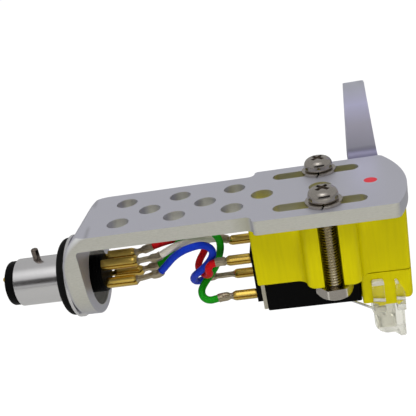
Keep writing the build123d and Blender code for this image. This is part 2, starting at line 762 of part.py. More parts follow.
# Screws, washers and nuts: one set on each side, clamping the ears to the plate
washer_top_z = plate_top + washer_thick
head_top_z = washer_top_z + head_height
nut_bottom_z = mount_bottom_z - nut_height
for side, sign in lateral_sides.items():
    centre = (screw_x, sign * screw_y)
    with BuildPart() as screw:
        with BuildSketch(Plane.XY.offset(screw_end_z)):
            with Locations(centre):
                Circle(screw_r)
        extrude(amount=washer_top_z - screw_end_z)
        chamfer(screw.edges().group_by(Axis.Z)[0], screw_r / 4)
        with BuildSketch(Plane.XY.offset(washer_top_z)):
            with Locations(centre):
                Circle(head_r)
        extrude(amount=head_height)
        fillet(screw.edges().group_by(Axis.Z)[-1], head_round)
        with BuildSketch(Plane.XY.offset(head_top_z)):
            with Locations(centre):
                Rectangle(recess_length, recess_width, rotation=recess_turn)
                Rectangle(recess_width, recess_length, rotation=recess_turn)
        extrude(amount=-recess_depth, mode=Mode.SUBTRACT)
    finish(screw.part, f"screw_{side}")

    with BuildPart() as washer:
        with BuildSketch(Plane.XY.offset(plate_top)):
            with Locations(centre):
                Circle(washer_r)
                Circle(washer_bore_r, mode=Mode.SUBTRACT)
        extrude(amount=washer_thick)
    finish(washer.part, f"washer_{side}")

    with BuildPart() as nut:
        with BuildSketch(Plane.XY.offset(nut_bottom_z)):
            with Locations(centre):
                RegularPolygon(nut_corner_r, 6, rotation=nut_turn)
        extrude(amount=nut_height)
        with BuildSketch(Plane((*centre, 0), x_dir=(1, 0, 0), z_dir=(0, -1, 0))):
            with BuildLine():
                Polyline(
                    (0, mount_bottom_z),
                    (nut_corner_r, mount_bottom_z),
                    (nut_corner_r, nut_bottom_z + nut_chamfer),
                    (nut_corner_r - nut_chamfer_width, nut_bottom_z),
                    (0, nut_bottom_z),
                    close=True,
                )
            make_face()
        revolve(axis=Axis((*centre, 0), (0, 0, 1)), mode=Mode.INTERSECT)
        with BuildSketch(Plane.XY.offset(nut_bottom_z)):
            with Locations(centre):
                Circle(screw_r + slip / 2)
        extrude(amount=nut_height, mode=Mode.SUBTRACT)
    finish(nut.part, f"nut_{side}")

# Stylus tube: pressed in the holder's tongue and pushed into the housing
with BuildPart() as stylus_tube:
    rod_along_stylus(tube_r, -tube_back, tube_front)
    rod_along_stylus(tube_r - tube_wall, -tube_back, tube_front, mode=Mode.SUBTRACT)
finish(stylus_tube.part, "stylus_tube")

# Damper: the rubber ring that the cantilever pivots in
with BuildPart() as damper:
    rod_along_stylus(tube_r - tube_wall, -damper_half, damper_half)
    rod_along_stylus(damper_bore_r, -damper_half, damper_half, mode=Mode.SUBTRACT)
finish(damper.part, "damper")

# Magnet: a small rod on the cantilever's inner end
with BuildPart() as magnet:
    rod_along_stylus(magnet_r, -magnet_back, -magnet_front)
finish(magnet.part, "magnet")

# Stylus tip: a diamond cone that hangs straight down through the cantilever's end
tip_centre = stylus_point(tip_reach)
with BuildPart() as stylus_tip:
    with BuildSketch(Plane.XZ):
        with BuildLine():
            Polyline(
                (tip_centre.X, tip_centre.Z + cantilever_r),
                (tip_centre.X + tip_r, tip_centre.Z + cantilever_r),
                (tip_centre.X + tip_r, tip_centre.Z - tip_length / 2),
                (tip_centre.X, tip_centre.Z - tip_length),
                close=True,
            )
        make_face()
    revolve(axis=Axis((tip_centre.X, 0, 0), (0, 0, 1)))
finish(stylus_tip.part, "stylus_tip")

# Cantilever: a thin rod from the magnet to the tip
with BuildPart() as cantilever:
    rod_along_stylus(cantilever_r, -magnet_front, cantilever_length)
    add(stylus_tip.part, mode=Mode.SUBTRACT)
finish(cantilever.part, "cantilever")

# Stylus holder: yellow block in front of the housing, with a tongue under it for the tube
holder_top_z = mount_bottom_z - holder_seam
with BuildPart() as stylus_holder:
    with BuildSketch(Plane.XZ.offset(-mount_half)):
        with BuildLine():
            Polyline(
                (holder_back_x, holder_top_z),
                (mount_front_x, holder_top_z),
                (mount_front_x, holder_toe_z),
                (holder_toe_x, holder_toe_z),
                (holder_belly_front_x, holder_belly_z),
                (holder_belly_back_x, holder_belly_z),
                (holder_belly_back_x + holder_belly_z - holder_bottom_z, holder_bottom_z),
                (holder_back_x, holder_bottom_z),
                close=True,
            )
        make_face()
    extrude(amount=2 * mount_half)
    front_edges = stylus_holder.faces().sort_by(Axis.X)[-1].edges()
    fillet(front_edges.sort_by(Axis.Z)[:-1], mount_corner_round)
    fillet(stylus_holder.edges().filter_by(Axis.Z).group_by(Axis.X)[0], mount_edge_round)
    with BuildSketch(Plane.XY.offset(tongue_bottom_z)):
        with Locations(((tongue_back_x + tongue_front_x) / 2, 0)):
            RectangleRounded(tongue_front_x - tongue_back_x, 2 * tongue_half, tongue_half / 4)
    extrude(amount=tongue_top_z - tongue_bottom_z)
    rod_along_stylus(tube_r, -tube_back, tube_hole_front, mode=Mode.SUBTRACT)
finish(stylus_holder.part, "stylus_holder")

# Guard: clear scoop under the holder, open to the rear, with two clip arms on each side
arm_inner_y = mount_half + arm_gap
arm_outer_y = arm_inner_y + arm_thick
with BuildPart() as stylus_guard:
    with BuildSketch(Plane.XZ.offset(-guard_half)) as guard_side:
        with BuildLine():
            Polyline(
                (guard_back_x, guard_top_z),
                (guard_front_x, guard_top_z),
                (guard_front_x, guard_fin_z + guard_fin_chamfer),
                (guard_front_x - guard_fin_chamfer, guard_fin_z),
                (guard_front_x - guard_fin_length, guard_fin_z),
                (guard_column_x - guard_notch, guard_bottom_z),
                (guard_back_x, guard_bottom_z),
                close=True,
            )
        make_face()
        heel = guard_side.vertices().sort_by_distance((guard_back_x, guard_bottom_z, 0))[0]
        fillet(heel, guard_heel_round)
    extrude(amount=2 * guard_half)
    with BuildSketch(Plane.XZ.offset(guard_wall - guard_half)):
        with BuildLine():
            Polyline(
                (guard_back_x - overshoot, guard_top_z + overshoot),
                (guard_column_x, guard_top_z + overshoot),
                (guard_column_x, guard_floor_z),
                (guard_back_x - overshoot, guard_floor_z),
                close=True,
            )
        make_face()
    extrude(amount=2 * (guard_half - guard_wall), mode=Mode.SUBTRACT)
    for sign in (-1, 1):
        arm_y = sign * (arm_inner_y + arm_outer_y) / 2
        ledge_y = sign * (guard_half - guard_wall + arm_outer_y) / 2
        ledge_width = arm_outer_y - guard_half + guard_wall
        for ledge_back, ledge_front in (
            (rear_arm_x, rear_arm_x + rear_arm_width),
            (front_arm_x, front_arm_front_x),
        ):
            ledge_length = ledge_front - ledge_back
            ledge_z = guard_top_z - arm_ledge / 2
            with Locations(((ledge_back + ledge_front) / 2, ledge_y, ledge_z)):
                Box(ledge_length, ledge_width, arm_ledge)
        with BuildSketch(Plane.XZ.offset(-arm_y - arm_thick / 2)) as arm_sides:
            with BuildLine():
                Polyline(
                    (rear_arm_x, guard_top_z - arm_ledge),
                    (rear_arm_x, rear_arm_top_z),
                    (rear_arm_x + rear_arm_width, rear_arm_top_z),
                    (rear_arm_x + rear_arm_width, guard_top_z - arm_ledge),
                    close=True,
                )
            make_face()
            fillet(arm_sides.vertices().group_by(Axis.Y)[-1], arm_thick / 2)
        extrude(amount=arm_thick)
        with BuildSketch(Plane.XZ.offset(-arm_y - arm_thick / 2)):
            with BuildLine():
                Polyline(
                    (front_arm_x, guard_top_z - arm_ledge),
                    (front_arm_x, front_arm_top_z),
                    (front_arm_x + front_arm_peak, front_arm_top_z),
                    (front_arm_front_x, front_arm_low_z),
                    (front_arm_front_x, guard_top_z - arm_ledge),
                    close=True,
                )
            make_face()
        extrude(amount=arm_thick)
finish(stylus_guard.part, "stylus_guard")
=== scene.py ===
import math

import bpy
from mathutils import Matrix, Vector


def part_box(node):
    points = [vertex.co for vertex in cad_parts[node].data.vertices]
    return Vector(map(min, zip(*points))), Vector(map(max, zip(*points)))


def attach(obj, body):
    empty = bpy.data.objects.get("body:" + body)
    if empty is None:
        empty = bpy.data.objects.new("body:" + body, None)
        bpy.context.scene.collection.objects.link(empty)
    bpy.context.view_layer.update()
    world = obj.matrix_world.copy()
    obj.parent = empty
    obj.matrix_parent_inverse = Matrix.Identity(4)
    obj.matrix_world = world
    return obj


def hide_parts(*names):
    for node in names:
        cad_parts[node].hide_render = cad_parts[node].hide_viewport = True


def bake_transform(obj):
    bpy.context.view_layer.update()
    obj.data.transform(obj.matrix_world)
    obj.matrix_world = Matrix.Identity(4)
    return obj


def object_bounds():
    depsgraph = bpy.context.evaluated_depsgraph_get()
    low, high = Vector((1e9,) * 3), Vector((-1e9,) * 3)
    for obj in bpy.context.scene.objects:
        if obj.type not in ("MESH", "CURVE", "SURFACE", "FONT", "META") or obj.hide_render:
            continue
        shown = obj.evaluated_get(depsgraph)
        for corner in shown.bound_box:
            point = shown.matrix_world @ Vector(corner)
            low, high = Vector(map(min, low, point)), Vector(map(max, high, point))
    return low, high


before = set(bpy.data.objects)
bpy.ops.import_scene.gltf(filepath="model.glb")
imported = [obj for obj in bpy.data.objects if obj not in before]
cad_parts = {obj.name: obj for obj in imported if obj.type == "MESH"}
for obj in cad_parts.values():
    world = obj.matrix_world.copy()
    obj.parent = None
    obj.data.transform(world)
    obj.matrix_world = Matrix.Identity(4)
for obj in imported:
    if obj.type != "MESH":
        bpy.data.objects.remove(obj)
cad_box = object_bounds()
MM = 0.001

# Camera: fitted to the photograph with the headshell level, so the camera takes the tilt. The
# headshell's long side climbs to the right in the picture, which is the camera's roll.
camera_place = Vector((40.8, -102.12, 51.74)) * MM
camera_azimuth = math.radians(9.42)
camera_elevation = math.radians(22.44)
camera_roll = math.radians(-11.29)
looking = Vector((
    -math.sin(camera_azimuth) * math.cos(camera_elevation),
    math.cos(camera_azimuth) * math.cos(camera_elevation),
    -math.sin(camera_elevation),
))
turn = looking.to_track_quat("-Z", "Y").to_matrix() @ Matrix.Rotation(camera_roll, 3, "Z")
camera = bpy.data.objects.new("camera", bpy.data.cameras.new("camera"))
camera.data.lens = 61.4
camera.data.sensor_width = 36.0
camera.data.clip_start = 1 * MM
camera.matrix_world = Matrix.Translation(camera_place) @ turn.to_4x4()
bpy.context.scene.collection.objects.link(camera)
bpy.context.scene.camera = camera
bpy.context.scene.view_settings.view_transform = "Standard"


# Floor: a pale sheet under the part, which is held up by its plug. To the camera and through clear
# plastic it glows white, except where the part's own shadow falls; metal reflects the plain sheet.
class Wire:
    """A shader socket that plain arithmetic works on; each operator adds its Math node."""

    def __init__(self, tree, socket=None):
        self.tree = tree
        self.socket = socket

    def node(self, kind, settings=None, inputs=None, out=0):
        """Any other node, by its type, settings, sockets' values or wires, and output."""
        made = self.tree.nodes.new("ShaderNode" + kind)
        for name, value in (settings or {}).items():
            if name == "stops":
                set_stops(made.color_ramp, value)
            else:
                setattr(made, name, value)
        for name, value in (inputs or {}).items():
            self.feed(made.inputs[name], value)
        return Wire(self.tree, made.outputs[out])

    def feed(self, socket, value):
        """Links a wire to a socket, or sets the socket's own value."""
        if isinstance(value, Wire):
            self.tree.links.new(value.socket, socket)
        else:
            socket.default_value = value

    def maths(self, operation, first, second):
        return self.node("Math", {"operation": operation}, {0: first, 1: second})

    def __add__(self, other):
        return self.maths("ADD", self, other)

    def __radd__(self, other):
        return self.maths("ADD", other, self)

    def __sub__(self, other):
        return self.maths("SUBTRACT", self, other)

    def __rsub__(self, other):
        return self.maths("SUBTRACT", other, self)

    def __mul__(self, other):
        return self.maths("MULTIPLY", self, other)

    def __rmul__(self, other):
        return self.maths("MULTIPLY", other, self)

    def __abs__(self):
        return self.node("Math", {"operation": "ABSOLUTE"}, {0: self})


def set_stops(ramp, stops):
    """A colour ramp's stops, each a place from 0 to 1 and a grey level or colour."""
    while len(ramp.elements) < len(stops):
        ramp.elements.new(1.0)
    for element, (place, value) in zip(ramp.elements, stops):
        element.position = place
        element.color = (value, value, value, 1) if isinstance(value, float) else (*value, 1)


def colour(red, green, blue):
    """A colour socket's value."""
    return (red, green, blue, 1.0)


def new_material(name, base, roughness, metallic=0.0, **plain):
    """A material with its main shader's plain values set; returns it, its wire and the shader."""
    made = bpy.data.materials.new(name)
    made.use_nodes = True
    shader = made.node_tree.nodes["Principled BSDF"]
    shader.inputs["Base Color"].default_value = colour(*base)
    shader.inputs["Roughness"].default_value = roughness
    shader.inputs["Metallic"].default_value = metallic
    for socket, value in plain.items():
        shader.inputs[socket.replace("_", " ")].default_value = value
    return made, Wire(made.node_tree), shader


def seen_white(wire):
    """1 for rays from the camera and those that clear plastic sends on."""
    from_camera = wire.node("LightPath", out="Is Camera Ray")
    through_plastic = wire.node("LightPath", out="Is Transmission Ray")
    return wire.node("Clamp", inputs={"Value": from_camera + through_plastic})


floor_z = -42 * MM
floor_half = 3.0
bpy.ops.object.select_all(action="DESELECT")
bpy.ops.mesh.primitive_plane_add(size=2 * floor_half, location=(0, 0, floor_z))
floor = bpy.context.object
floor.name = "floor"
bpy.ops.object.transform_apply(location=True)

glow_level = 1.17
glow_most = 0.84
floor_sheet, wire, paper = new_material(
    "floor_sheet", (0.44, 0.44, 0.43), 0.9, Specular_IOR_Level=0.1
)
sheet_look = Wire(wire.tree, paper.outputs[0])
glow = wire.node("Emission", inputs={"Color": colour(1, 1, 1), "Strength": glow_level})
glow_share = seen_white(wire) * glow_most
floor_look = wire.node("MixShader", inputs={0: glow_share, 1: sheet_look, 2: glow})
wire.feed(wire.tree.nodes["Material Output"].inputs["Surface"], floor_look)
floor.data.materials.append(floor_sheet)


# Studio light: a dim room with a bright panel above the camera, two soft lamps that metal doesn't
# mirror, and a dark card behind the camera that gives polished metal its dark band.
def ramp_between(wire, value, start, end):
    """0 below a start, 1 above an end, even between them."""
    return wire.node("MapRange", {}, {"Value": value, "From Min": start, "From Max": end})


world = bpy.data.worlds.new("studio")
bpy.context.scene.world = world
world.use_nodes = True
world_wire = Wire(world.node_tree)
room = world.node_tree.nodes["Background"]
gaze = world_wire.node("TexCoord", out="Generated")
panel_direction = Vector((-0.06, -0.44, 0.90)).normalized()
towards_panel = world_wire.node(
    "VectorMath", {"operation": "DOT_PRODUCT"}, {0: gaze, 1: panel_direction}, out="Value"
)
panel = ramp_between(world_wire, towards_panel, 0.84, 0.95)
core = ramp_between(world_wire, towards_panel, 0.972, 0.985)
room_light = 0.45
panel_light = 0.38
core_light = 1.1
backdrop_light = 1.05
white = seen_white(world_wire)
mirrored_light = room_light + panel_light * panel + core_light * core
room_level = mirrored_light * (1 - white) + backdrop_light * white
world_wire.feed(room.inputs["Strength"], room_level)
room.inputs["Color"].default_value = colour(1, 1, 1)


def lamp(name, place, target, width, power):
    """A square soft lamp that faces a point."""
    light = bpy.data.lights.new(name, "AREA")
    light.size = width
    light.energy = power
    holder = bpy.data.objects.new(name, light)
    holder.location = place
    aim = Vector(target) - Vector(place)
    holder.rotation_euler = aim.to_track_quat("-Z", "Y").to_euler()
    holder.visible_glossy = False
    bpy.context.scene.collection.objects.link(holder)


middle = (cad_box[0] + cad_box[1]) / 2
lamp("overhead", middle + Vector((-0.08, -0.12, 0.42)), middle, 0.28, 1.5)
lamp("front", middle + Vector((0.12, -0.42, 0.10)), middle, 0.3, 1.3)

card_behind = 0.16
card_width = 0.5
card_height = 0.13
bpy.ops.object.select_all(action="DESELECT")
bpy.ops.mesh.primitive_plane_add(size=1.0, location=camera_place - looking * card_behind)
card = bpy.context.object
card.name = "dark_card"
card.rotation_euler = looking.to_track_quat("-Z", "Y").to_euler()
card.scale = (card_width, card_height, 1)
bpy.ops.object.transform_apply(location=True, rotation=True, scale=True)
card_felt, _, _ = new_material("card_felt", (0.05, 0.045, 0.046), 0.9)
card.data.materials.append(card_felt)


# Headshell: one piece of aluminium, sawn, bent and drilled, with the finger lift left on it. It is
# blasted and anodised on top and milled along its sides, so the sides are paler and warmer. A plain
# dot of red paint marks its front.
def object_point(wire, stretch=(1, 1, 1)):
    """The place on the part in millimetres, stretched along each axis."""
    place = wire.node("TexCoord", out="Object")
    scale = tuple(1000 * share for share in stretch)
    return wire.node("Mapping", {}, {"Vector": place, "Scale": scale})


def speckle(wire, point, per_mm, detail=2.0, rough=0.5):
    """Fractal noise with a number of lumps to the millimetre."""
    settings = {"Vector": point, "Scale": per_mm, "Detail": detail, "Roughness": rough}
    return wire.node("TexNoise", {}, settings)


def colour_mix(wire, share, first, second):
    """A colour between two wires or socket values, by a share from 0 to 1."""
    return wire.node("Mix", {"data_type": "RGBA"}, {0: share, 6: first, 7: second}, out=2)


def tint_between(wire, share, dark, light):
    """A colour between two, by a share from 0 to 1."""
    return colour_mix(wire, share, colour(*dark), colour(*light))


def relief(wire, shader, height, depth_mm):
    """Bump of a real depth in millimetres, fed to the shader's normal."""
    bumped = wire.node("Bump", {}, {"Height": height, "Distance": depth_mm * MM})
    wire.feed(shader.inputs["Normal"], bumped)


def one_axis(wire, vector, axis):
    """A vector's part along one axis."""
    return wire.node("SeparateXYZ", {}, {0: vector}, out=axis)


def facing(wire, axis):
    """How far the surface faces along one axis, from -1 to 1."""
    return one_axis(wire, wire.node("NewGeometry", out="Normal"), axis)


def pick(piece):
    """Makes a piece the only selected one and the active one."""
    bpy.ops.object.select_all(action="DESELECT")
    piece.select_set(True)
    bpy.context.view_layer.objects.active = piece


def rounded_copy(node, edge, body):
    """A copy of a rigid CAD piece, welded, with its flat faces whole again and its edges eased."""
    piece = bpy.data.objects.new(node + "_finished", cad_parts[node].data.copy())
    bpy.context.scene.collection.objects.link(piece)
    piece.data.materials.clear()
    pick(piece)
    bpy.ops.object.mode_set(mode="EDIT")
    bpy.ops.mesh.select_all(action="SELECT")
    bpy.ops.mesh.remove_doubles(threshold=0.002 * MM)
    bpy.ops.mesh.dissolve_limited(angle_limit=math.radians(0.6))
    bpy.ops.mesh.select_all(action="DESELECT")
    bpy.ops.mesh.select_mode(type="EDGE")
    bpy.ops.mesh.edges_select_sharp(sharpness=math.radians(38))
    bpy.ops.mesh.bevel(offset=edge * MM, segments=2, clamp_overlap=True)
    bpy.ops.object.mode_set(mode="OBJECT")
    bpy.ops.object.shade_smooth_by_angle(angle=math.radians(28))
    piece.modifiers.new("even_normals", "WEIGHTED_NORMAL").keep_sharp = True
    bpy.ops.object.modifier_apply(modifier="even_normals")
    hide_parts(node)
    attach(piece, body)
    return piece


def place_along(wire, axis):
    """The place on the part along one axis, in millimetres."""
    return one_axis(wire, object_point(wire), axis)


anodised, wire, shader = new_material("anodised", (0.6, 0.6, 0.66), 0.38, 0.75)
along = place_along(wire, "X")
across = place_along(wire, "Y")
height = place_along(wire, "Z")
upwards = facing(wire, "Z")
sideways = abs(facing(wire, "Y"))
from_middle = abs(across)
grain = speckle(wire, object_point(wire), 9.0, 3.0, 0.7)
mill_lines = speckle(wire, object_point(wire, (0.25, 1, 1)), 7.0, 2.0)
top_tint = tint_between(wire, grain, (0.50, 0.50, 0.56), (0.64, 0.64, 0.71))
side_tint = tint_between(wire, mill_lines, (0.61, 0.60, 0.53), (0.76, 0.75, 0.68))
sides = ramp_between(wire, sideways, 0.6, 0.95)
tint = colour_mix(wire, sides, top_tint, side_tint)

# Slot and hole walls are painted olive: painted shade, with a painted reflection of the yellow
# carrier below.
slots_from_x = 28.0
slots_within_y = 8.5
slot_reflection_shade = colour(0.51, 0.50, 0.39)
by_slots = ramp_between(wire, along, slots_from_x, slots_from_x + 3)
inside = 1 - ramp_between(wire, from_middle, slots_within_y - 0.1, slots_within_y + 0.1)
tint = colour_mix(wire, inside * by_slots * sides, tint, slot_reflection_shade)

# The finger lift is painted with shade that follows its bend: dark at the root, brightest and
# bluish high up.
lift_from_y = 9.9
lift_bottom_z = 10.2
lift_top_z = 21.0
lift_shading_stops = (
    (0.0, (0.26, 0.25, 0.36)),
    (0.08, (0.50, 0.49, 0.58)),
    (0.4, (0.62, 0.60, 0.72)),
    (0.7, (0.76, 0.75, 1.0)),
    (1.0, (0.66, 0.67, 0.76)),
)
up_the_lift = ramp_between(wire, height, lift_bottom_z, lift_top_z)
lift_painted_shading = wire.node("ValToRGB", {"stops": lift_shading_stops}, {0: up_the_lift})
on_lift = ramp_between(wire, across, lift_from_y, lift_from_y + 0.4)
tint = colour_mix(wire, on_lift, tint, lift_painted_shading)

# A painted line of shade runs across the top faces at the blend near the plate's rear end.
blend_x = 4.9
blend_slope = 0.12
blend_half_width = 0.5
blend_shade_colour = colour(0.30, 0.30, 0.33)
from_blend = abs(along - blend_x + blend_slope * across)
blend_shade = 1 - ramp_between(wire, from_blend, 0.0, blend_half_width)
blend_shade = blend_shade * ramp_between(wire, from_middle, 3.2, 5.0)
blend_shade = blend_shade * ramp_between(wire, upwards, 0.7, 0.9)
tint = colour_mix(wire, blend_shade * 0.55, tint, blend_shade_colour)

# The eased edges on the near side are painted almost white as a highlight.
bevel_highlight_colour = colour(0.95, 0.95, 0.94)
near_side = 1 - ramp_between(wire, across, 0.0, 1.0)
near_bevel_highlight = ramp_between(wire, upwards * sideways, 0.2, 0.45) * near_side
tint = colour_mix(wire, near_bevel_highlight, tint, bevel_highlight_colour)

bore_reach = across * across + height * height
bore_reach_limit = 28.0
bore_rings = speckle(wire, object_point(wire, (1, 0.05, 0.05)), 4.0, 2.0)
bore_tint = tint_between(wire, bore_rings, (0.5, 0.5, 0.47), (1.0, 1.0, 0.96))
in_bore = 1 - ramp_between(wire, bore_reach, bore_reach_limit, bore_reach_limit + 0.6)
tint = colour_mix(wire, in_bore, tint, bore_tint)

dot_x = 49.2
dot_y = -0.2
dot_colour = colour(0.55, 0.01, 0.02)
dot_reach = (along - dot_x) * (along - dot_x) + (across - dot_y) * (across - dot_y)
on_dot = (1 - ramp_between(wire, dot_reach, 0.95, 1.1)) * ramp_between(wire, upwards, 0.8, 0.9)
tint = colour_mix(wire, on_dot, tint, dot_colour)

wire.feed(shader.inputs["Base Color"], tint)
wire.feed(shader.inputs["Metallic"], 0.75 * (1 - on_dot))
wire.feed(shader.inputs["Roughness"], 0.34 + 0.16 * grain)
relief(wire, shader, grain, 0.012)
headshell = rounded_copy("headshell", 0.14, "headshell")
headshell.data.materials.append(anodised)


# Plug sleeve: turned brass with a bright nickel plate, so it carries fine rings round its barrel.
# It is pressed into the headshell's boss up to its flange.
def paint(wire, shader, share, dark, light):
    """Feeds the base colour with one between two colours, by a share from 0 to 1."""
    mixed = tint_between(wire, share, dark, light)
    wire.feed(shader.inputs["Base Color"], mixed)


nickel, wire, shader = new_material("turned_nickel", (0.80, 0.79, 0.80), 0.16, 1.0)
rings = speckle(wire, object_point(wire, (1, 0.02, 0.02)), 14.0, 3.0, 0.6)
paint(wire, shader, rings, (0.74, 0.73, 0.74), (0.86, 0.85, 0.85))
wire.feed(shader.inputs["Roughness"], 0.12 + 0.14 * rings)
relief(wire, shader, rings, 0.004)
plug_sleeve = rounded_copy("plug_sleeve", 0.08, "headshell")
plug_sleeve.data.materials.append(nickel)

# Locking pin: turned steel, pressed into the top of the sleeve. The tonearm's collar draws the plug
# in by it, and has left it dark and rubbed.
pin_steel, wire, shader = new_material("pin_steel", (0.22, 0.18, 0.15), 0.22, 1.0)
pin_rings = speckle(wire, object_point(wire, (0.1, 0.1, 1)), 8.0, 3.0)
paint(wire, shader, pin_rings, (0.14, 0.11, 0.09), (0.30, 0.26, 0.23))
locking_pin = rounded_copy("locking_pin", 0.05, "headshell")
locking_pin.data.materials.append(pin_steel)


# Gasket: a moulded rubber ring, pushed over the plug against its flange. It takes up the play in
# the tonearm's socket, and is matt with a dull bloom.
def dress(nodes, made):
    """Gives CAD nodes that keep their own mesh a new material."""
    for node in nodes:
        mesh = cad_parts[node].data
        mesh.materials.clear()
        mesh.materials.append(made)


black_rubber, wire, shader = new_material(
    "black_rubber", (0.004, 0.004, 0.004), 0.5, Specular_IOR_Level=0.08
)
bloom = speckle(wire, object_point(wire), 3.0, 4.0)
paint(wire, shader, bloom, (0.002, 0.002, 0.002), (0.006, 0.006, 0.006))
wire.feed(shader.inputs["Roughness"], 0.45 + 0.2 * bloom)
relief(wire, shader, bloom, 0.01)
dress(["gasket"], black_rubber)


# Plug insulator: turned from black plastic, pushed through the sleeve from behind up to its cap,
# with fine turning rings in front.
def turned(name, profile, sides=64):
    """A solid of rotation about the plug's axis, drawn out ring by ring from (x, radius) pairs."""
    (place, radius), *rest = profile
    bpy.ops.object.select_all(action="DESELECT")
    bpy.ops.mesh.primitive_circle_add(
        vertices=sides,
        radius=radius * MM,
        fill_type="NGON",
        location=(place * MM, 0, 0),
        rotation=(0, math.pi / 2, 0),
    )
    piece = bpy.context.object
    piece.name = name
    bpy.ops.object.transform_apply(location=True, rotation=True)
    bpy.ops.object.mode_set(mode="EDIT")
    bpy.ops.mesh.select_all(action="SELECT")
    for next_place, next_radius in rest:
        step = ((next_place - place) * MM, 0, 0)
        bpy.ops.mesh.extrude_region_move(TRANSFORM_OT_translate={"value": step})
        bpy.ops.transform.resize(value=(1, next_radius / radius, next_radius / radius))
        place, radius = next_place, next_radius
    bpy.ops.mesh.select_all(action="SELECT")
    bpy.ops.mesh.normals_make_consistent(inside=False)
    bpy.ops.object.mode_set(mode="OBJECT")
    bpy.ops.object.shade_smooth_by_angle(angle=math.radians(30))
    return piece


black_plastic, wire, shader = new_material(
    "black_plastic", (0.002, 0.002, 0.002), 0.4, Specular_IOR_Level=0.05
)
moulding = speckle(wire, object_point(wire), 5.0, 3.0)
paint(wire, shader, moulding, (0.001, 0.001, 0.001), (0.003, 0.003, 0.003))
wire.feed(shader.inputs["Roughness"], 0.34 + 0.2 * moulding)
relief(wire, shader, moulding, 0.006)

cap_radius = 3.73
insulator_radius = 3.15
ring_floor = insulator_radius - 0.08
insulator_profile = [
    (-11.6, 3.45),
    (-11.5, 3.62),
    (-11.3, cap_radius),
    (-10.22, cap_radius),
    (-10.2, insulator_radius),
]
for ring in range(9):
    ring_start = 1.1 + 0.42 * ring
    insulator_profile += [
        (ring_start, insulator_radius),
        (ring_start + 0.05, ring_floor),
        (ring_start + 0.19, ring_floor),
        (ring_start + 0.24, insulator_radius),
    ]
insulator_profile += [(4.9, insulator_radius), (5.0, insulator_radius - 0.1)]
insulator = turned("plug_insulator_turned", insulator_profile)
insulator.data.materials.append(black_plastic)
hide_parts("plug_insulator")
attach(insulator, "headshell")

# Pins: turned brass with a gold plate. Four are moulded into the plug's insulator and four into the
# cartridge's rear block.
gold_plate, wire, shader = new_material("gold_plate", (0.80, 0.55, 0.12), 0.24, 1.0)
rub = speckle(wire, object_point(wire, (0.3, 1, 1)), 6.0, 3.0, 0.6)
paint(wire, shader, rub, (0.72, 0.48, 0.07), (0.88, 0.63, 0.17))
wire.feed(shader.inputs["Roughness"], 0.2 + 0.1 * rub)
relief(wire, shader, rub, 0.003)
sides_of_pins = ("far_top", "near_top", "far_bottom", "near_bottom")
dress([f"contact_pin_{side}" for side in sides_of_pins], gold_plate)
dress([f"cartridge_pin_{side}" for side in sides_of_pins], gold_plate)

# Leads: fine stranded wire in soft coloured insulation, one for each channel and its return. Each
# is one smooth line from its rear clip to its front clip.
lead_radius = 0.6 * MM
lead_routes = {
    "white": [
        (14.6, -1.6, 2.35), (16.5, -1.1, 3.2), (18.4, -0.1, 3.4), (20.2, 1.0, 3.1),
        (22.0, 2.1, 2.5), (23.4, 3.0, 2.2), (24.5, 3.65, 1.7),
    ],
    "red": [
        (12.75, 1.6, 2.7), (14.3, 1.9, 3.0), (15.9, 2.4, 3.1), (17.8, 2.9, 3.1),
        (19.5, 3.3, 3.0), (20.8, 3.5, 2.8), (21.7, 3.5, 2.0), (21.8, 3.3, 0.9),
        (21.2, 2.9, -0.1), (20.4, 2.3, -1.0), (20.0, 1.5, -1.9), (20.6, 0.4, -2.4),
        (21.7, -1.1, -2.3), (22.5, -2.5, -1.4), (22.5, -3.4, -0.5), (22.7, -3.75, 0.5),
        (23.4, -3.75, 1.1), (24.4, -3.65, 1.15),
    ],
    "green": [
        (13.15, 1.6, -0.7), (14.6, 1.5, -0.3), (16.0, 1.3, 0.9), (17.2, 1.3, 2.4),
        (18.5, 1.5, 3.9), (20.1, 1.5, 4.9), (21.9, 1.3, 5.0), (23.5, 1.0, 4.5),
        (24.5, 0.7, 3.3), (24.6, 0.5, 1.7), (24.0, 0.5, 0.0), (23.2, 0.5, -1.7),
        (21.9, 0.3, -3.2), (20.9, -0.8, -4.0), (20.4, -2.0, -4.5), (20.7, -3.1, -5.2),
        (21.7, -3.6, -5.6), (22.8, -3.7, -5.4), (23.8, -3.65, -5.2),
    ],
    "blue": [
        (14.2, -1.6, -0.6), (15.7, -1.8, 0.8), (17.1, -2.1, 2.2), (18.8, -2.3, 3.2),
        (20.5, -2.4, 3.7), (22.0, -2.4, 3.9), (23.2, -2.4, 3.4), (23.7, -2.4, 2.4),
        (23.2, -2.3, 1.2), (22.1, -2.1, 0.0), (20.9, -1.6, -1.1), (19.6, -0.6, -2.3),
        (18.9, 0.8, -3.8), (19.2, 2.3, -5.1), (20.0, 3.3, -5.4), (21.0, 3.65, -5.2),
    ],
}
lead_tints = {
    "white": ((0.96, 0.88, 0.72), (1.0, 0.95, 0.80)),
    "red": ((0.58, 0.001, 0.004), (0.74, 0.006, 0.012)),
    "green": ((0.004, 0.24, 0.003), (0.01, 0.36, 0.008)),
    "blue": ((0.004, 0.03, 0.50), (0.01, 0.06, 0.68)),
}
